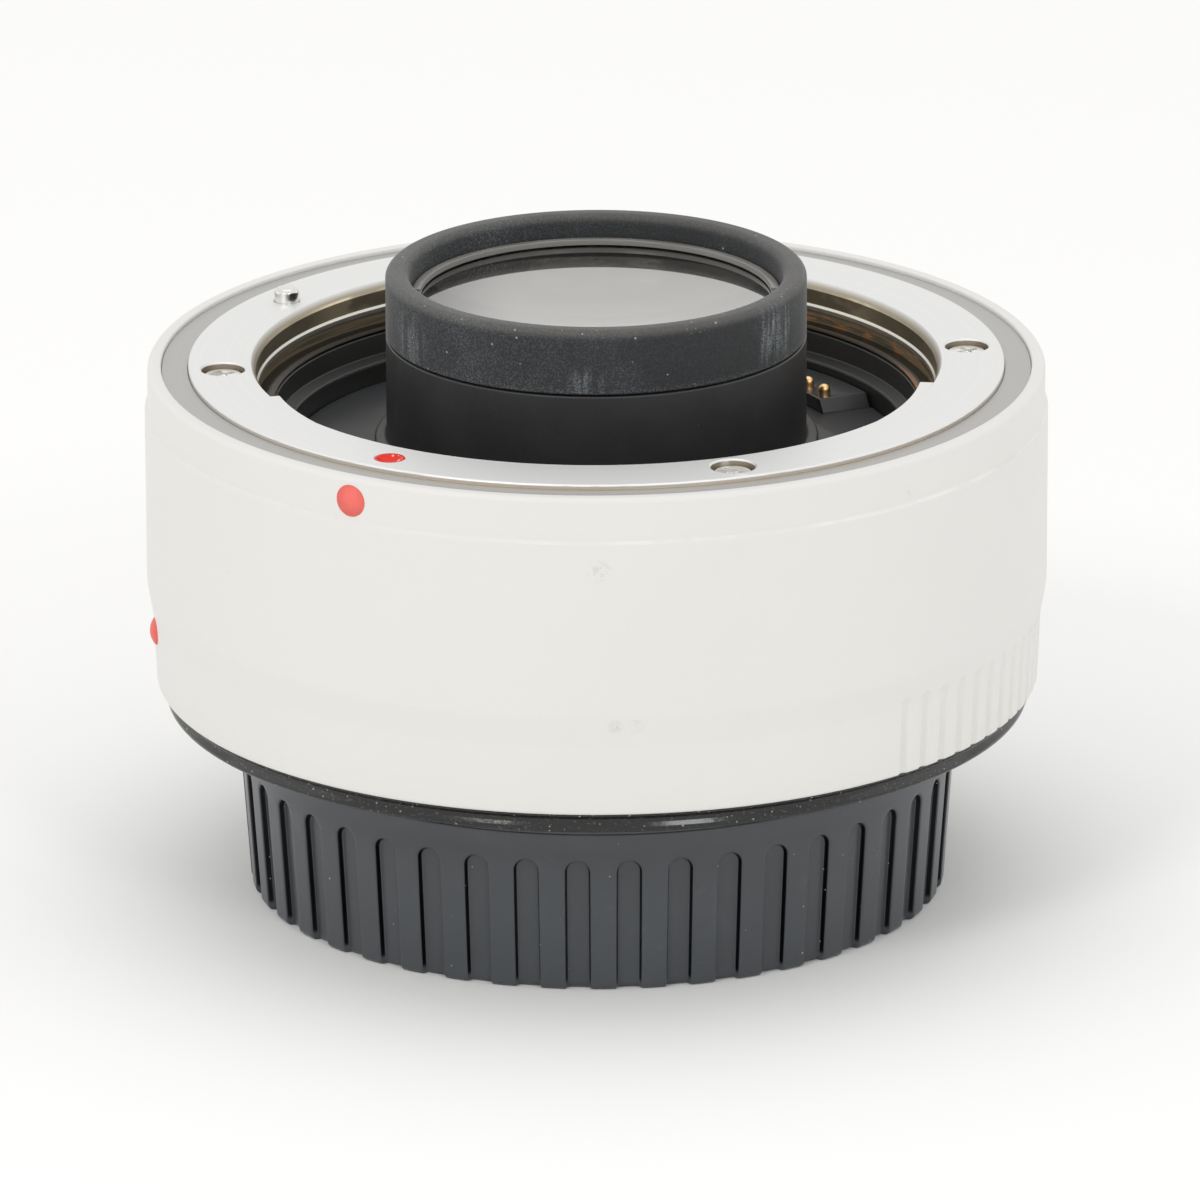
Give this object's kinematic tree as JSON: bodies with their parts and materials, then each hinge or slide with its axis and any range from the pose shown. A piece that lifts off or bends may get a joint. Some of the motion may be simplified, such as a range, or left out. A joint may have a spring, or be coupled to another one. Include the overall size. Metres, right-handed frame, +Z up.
{
  "type": "camera teleconverter",
  "caption": "White-barrelled lens teleconverter on its ribbed black bayonet cap: steel lens mount, sprung lock pin and contacts, rubber-collared front barrel, glass groups.",
  "frame": {"origin": "centre of the rear cap's base, on the optical axis", "axes": "+Z up along the optical axis to the lens side; -Y is the side pictured, +X its right"},
  "size_m": [0.072, 0.072, 0.0507],
  "materials": {
    "white_paint": "satin off-white paint",
    "grey_ring": "satin grey",
    "mount_steel": "finely turned stainless steel",
    "screw_steel": "bright steel",
    "spring_steel": "dark spring steel",
    "index_red": "gloss red",
    "dot_red": "satin red",
    "black_plastic": "matte black",
    "floor_plastic": "matte dark grey",
    "black_metal": "black anodised",
    "rubber": "dusty charcoal rubber",
    "seal_rubber": "glossy black rubber",
    "gold": "gold plated",
    "glass": "coated optical glass",
    "board": "green laminate",
    "frame_alloy": "black anodised casting",
    "cap_plastic": "satin blue-black plastic"
  },
  "bodies": {
    "barrel": {"outer_barrel": "white_paint", "face_ring": "grey_ring", "front_mount_ring": "mount_steel", "front_mount_screws": "screw_steel", "mount_index_dimple": "index_red", "lens_index_dot": "dot_red", "bayonet_spring": "spring_steel", "front_liner": "black_plastic", "well_floor": "floor_plastic", "contact_block": "floor_plastic", "contact_springs": "screw_steel", "front_tube": "black_metal", "rubber_collar": "rubber", "front_retaining_ring": "black_metal", "lens_cell": "black_metal", "middle_retaining_ring": "black_metal", "rear_retaining_ring": "black_metal", "cell_screws": "screw_steel", "circuit_board": "board", "controller_chip": "black_plastic", "main_frame": "frame_alloy", "lock_spring": "screw_steel", "rear_gasket": "seal_rubber", "rear_mount": "mount_steel", "rear_mount_screws": "screw_steel", "rear_baffle": "black_plastic", "rear_contact_block": "black_plastic", "rear_contacts": "gold", "camera_index_dome": "index_red", "element_1": "glass", "element_2": "glass", "element_3": "glass", "element_4": "glass", "element_5": "glass", "element_6": "glass", "element_7": "glass"},
    "lock_slider": {"lock_pin": "screw_steel", "lock_carrier": "screw_steel", "release_lever": "white_paint", "lever_screw": "screw_steel"},
    "contact_pins": {"contact_pins": "gold"},
    "rear_cap": {"rear_cap": "cap_plastic"}
  },
  "joints": [
    {"name": "lock_slide", "type": "slide", "parent": "barrel", "child": "lock_slider", "axis": [0, 0, -1], "range_m": [0, 0.002], "stiffness_N_per_m": 500, "springref_m": -0.0015, "deforming": ["lock_spring"]},
    {"name": "contact_press", "type": "slide", "parent": "barrel", "child": "contact_pins", "axis": [0, 0, -1], "range_m": [0, 0.0008], "stiffness_N_per_m": 800, "springref_m": -0.0008, "deforming": ["contact_springs"]},
    {"name": "cap_twist", "type": "hinge", "parent": "barrel", "child": "rear_cap", "pos_m": [0, 0, 0], "axis": [0, 0, 1], "range_deg": [-60, 0]}
  ]
}
